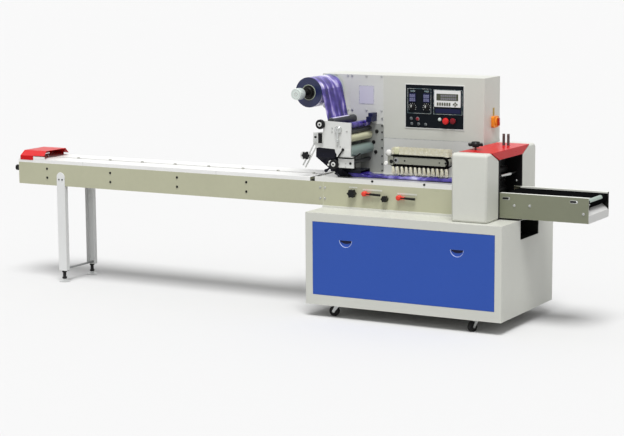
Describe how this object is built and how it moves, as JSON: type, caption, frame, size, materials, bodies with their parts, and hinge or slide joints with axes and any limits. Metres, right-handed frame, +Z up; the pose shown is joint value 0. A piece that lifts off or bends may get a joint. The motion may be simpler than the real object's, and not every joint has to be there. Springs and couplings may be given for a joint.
{
  "type": "horizontal flow wrapper",
  "caption": "Horizontal flow wrapper with a long infeed conveyor, film reel and forming box, brush belt, rotary sealing housing, control box and exit conveyor on a castered cabinet.",
  "frame": {"origin": "on the floor under the middle of the machine's bounding box", "axes": "+X along the product flow from infeed to exit, +Y from the operator's side to the back, +Z up"},
  "size_m": [4.02, 0.776, 1.407],
  "materials": {
    "housing_paint": "satin",
    "tower_cover_paint": "satin",
    "door_paint": "satin",
    "dark_liner": "matt",
    "line_plate_paint": "satin",
    "shaft_steel": "satin",
    "deck_steel": "polished",
    "chain_steel": "satin",
    "red_cover_paint": "gloss",
    "leg_paint": "satin",
    "foot_rubber": "matt",
    "table_steel": "satin",
    "film": "gloss",
    "film_roll_wound": "gloss",
    "panel_face": "satin",
    "switch_yellow": "satin",
    "switch_red": "gloss",
    "unit_plate_steel": "satin",
    "sensor_case": "satin",
    "former_paint": "satin",
    "belt_rubber": "matt",
    "brush_frame_steel": "satin",
    "frame_plate_paint": "satin",
    "exit_plate_paint": "satin",
    "roller_steel": "satin",
    "exit_belt_rubber": "matt",
    "tray_paint": "satin",
    "reel_metal": "satin",
    "cream_rubber": "matt",
    "jaw_steel": "satin",
    "knob_plastic": "satin",
    "lever_plastic": "satin",
    "fork_steel": "satin",
    "caster_tyre": "matt"
  },
  "bodies": {
    "machine_frame": {"cabinet_floor_plate": "housing_paint", "cabinet_front_frame": "housing_paint", "cabinet_side_panels": "housing_paint", "cabinet_back_panel": "housing_paint", "cabinet_top_plate": "housing_paint", "tower_base": "housing_paint", "tower_column": "housing_paint", "control_box": "housing_paint", "seal_front_column": "housing_paint", "seal_rear_column": "housing_paint", "tower_covers": "tower_cover_paint", "door_panel": "door_paint", "drive_liner": "dark_liner", "infeed_side_plates": "line_plate_paint", "line_side_plate": "line_plate_paint", "infeed_shafts": "shaft_steel", "film_unit_bars": "shaft_steel", "spring_posts": "shaft_steel", "infeed_deck_guides": "deck_steel", "pusher_chain": "chain_steel", "infeed_hood": "red_cover_paint", "seal_cover": "red_cover_paint", "infeed_leg_frame": "leg_paint", "levelling_feet": "foot_rubber", "film_table": "table_steel", "film_tube": "film", "film_web": "film", "control_panel": "panel_face", "switch_plate": "switch_yellow", "film_unit_plate": "unit_plate_steel", "mark_sensor": "sensor_case", "forming_box": "former_paint", "brush_belt": "belt_rubber", "brush_frame": "brush_frame_steel", "seal_frame_plates": "frame_plate_paint", "exit_side_plates": "exit_plate_paint", "exit_rollers": "roller_steel", "exit_belt": "exit_belt_rubber", "exit_tray": "tray_paint"},
    "film_reel": {"film_roll": "film_roll_wound", "reel_shaft": "reel_metal"},
    "rubber_roller": {"rubber_roller": "cream_rubber"},
    "steel_roller": {"steel_roller": "roller_steel"},
    "lever_left": {"lever_left": "lever_plastic"},
    "lever_right": {"lever_right": "lever_plastic"},
    "knob_left": {"knob_left": "knob_plastic"},
    "knob_right": {"knob_right": "knob_plastic"},
    "jaw_upper": {"jaw_upper": "jaw_steel"},
    "jaw_lower": {"jaw_lower": "jaw_steel"},
    "pressure_knob": {"pressure_knob": "knob_plastic"},
    "width_knob": {"width_knob": "knob_plastic"},
    "main_switch": {"main_switch": "switch_red"},
    "caster_fork_front_left": {"caster_fork_front_left": "fork_steel"},
    "caster_wheel_front_left": {"caster_wheel_front_left": "caster_tyre"},
    "caster_fork_front_right": {"caster_fork_front_right": "fork_steel"},
    "caster_wheel_front_right": {"caster_wheel_front_right": "caster_tyre"},
    "caster_fork_rear_left": {"caster_fork_rear_left": "fork_steel"},
    "caster_wheel_rear_left": {"caster_wheel_rear_left": "caster_tyre"},
    "caster_fork_rear_right": {"caster_fork_rear_right": "fork_steel"},
    "caster_wheel_rear_right": {"caster_wheel_rear_right": "caster_tyre"}
  },
  "joints": [
    {"name": "film_reel_spin", "type": "hinge", "parent": "machine_frame", "child": "film_reel", "pos_m": [0.212, 0, 1.31], "axis": [0, 1, 0], "continuous": true},
    {"name": "rubber_roller_spin", "type": "hinge", "parent": "machine_frame", "child": "rubber_roller", "pos_m": [0.477, 0, 1.043], "axis": [0, 1, 0], "continuous": true},
    {"name": "steel_roller_spin", "type": "hinge", "parent": "machine_frame", "child": "steel_roller", "pos_m": [0.477, 0, 0.966], "axis": [0, 1, 0], "continuous": true},
    {"name": "lever_left_turn", "type": "hinge", "parent": "machine_frame", "child": "lever_left", "pos_m": [0.613, -0.161, 0.725], "axis": [0, -1, 0], "range_deg": [0, 90]},
    {"name": "lever_right_turn", "type": "hinge", "parent": "machine_frame", "child": "lever_right", "pos_m": [0.841, -0.161, 0.715], "axis": [0, -1, 0], "range_deg": [0, 90]},
    {"name": "knob_left_turn", "type": "hinge", "parent": "machine_frame", "child": "knob_left", "pos_m": [0.529, -0.161, 0.721], "axis": [0, 1, 0], "continuous": true},
    {"name": "knob_right_turn", "type": "hinge", "parent": "machine_frame", "child": "knob_right", "pos_m": [0.748, -0.161, 0.702], "axis": [0, 1, 0], "continuous": true},
    {"name": "jaw_upper_spin", "type": "hinge", "parent": "machine_frame", "child": "jaw_upper", "pos_m": [1.363, 0, 0.88], "axis": [0, 1, 0], "continuous": true},
    {"name": "jaw_lower_spin", "type": "hinge", "parent": "machine_frame", "child": "jaw_lower", "pos_m": [1.363, 0, 0.76], "axis": [0, 1, 0], "continuous": true},
    {"name": "pressure_knob_turn", "type": "hinge", "parent": "machine_frame", "child": "pressure_knob", "pos_m": [1.309, -0.126, 1.018], "axis": [0, 0, 1], "continuous": true},
    {"name": "width_knob_turn", "type": "hinge", "parent": "machine_frame", "child": "width_knob", "pos_m": [-1.975, -0.135, 0.738], "axis": [1, 0, 0], "continuous": true},
    {"name": "main_switch_turn", "type": "hinge", "parent": "machine_frame", "child": "main_switch", "pos_m": [1.239, 0.302, 1.139], "axis": [1, 0, 0], "range_deg": [0, 90]},
    {"name": "caster_front_left_swivel", "type": "hinge", "parent": "machine_frame", "child": "caster_fork_front_left", "pos_m": [0.512, -0.313, 0.06], "axis": [0, 0, 1], "continuous": true},
    {"name": "caster_front_left_roll", "type": "hinge", "parent": "caster_fork_front_left", "child": "caster_wheel_front_left", "pos_m": [0.484, -0.313, 0.03], "axis": [0, -1, 0], "continuous": true},
    {"name": "caster_front_right_swivel", "type": "hinge", "parent": "machine_frame", "child": "caster_fork_front_right", "pos_m": [1.402, -0.313, 0.06], "axis": [0, 0, 1], "continuous": true},
    {"name": "caster_front_right_roll", "type": "hinge", "parent": "caster_fork_front_right", "child": "caster_wheel_front_right", "pos_m": [1.39242, -0.33931, 0.03], "axis": [0.9397, -0.342, 0], "continuous": true},
    {"name": "caster_rear_left_swivel", "type": "hinge", "parent": "machine_frame", "child": "caster_fork_rear_left", "pos_m": [0.512, 0.313, 0.06], "axis": [0, 0, 1], "continuous": true},
    {"name": "caster_rear_left_roll", "type": "hinge", "parent": "caster_fork_rear_left", "child": "caster_wheel_rear_left", "pos_m": [0.48662, 0.30117, 0.03], "axis": [0.4226, -0.9063, 0], "continuous": true},
    {"name": "caster_rear_right_swivel", "type": "hinge", "parent": "machine_frame", "child": "caster_fork_rear_right", "pos_m": [1.402, 0.313, 0.06], "axis": [0, 0, 1], "continuous": true},
    {"name": "caster_rear_right_roll", "type": "hinge", "parent": "caster_fork_rear_right", "child": "caster_wheel_rear_right", "pos_m": [1.37495, 0.32025, 0.03], "axis": [-0.2588, -0.9659, 0], "continuous": true}
  ],
  "couplings": [
    {"joint": "jaw_lower_spin", "follows": "jaw_upper_spin", "ratio": -1}
  ]
}
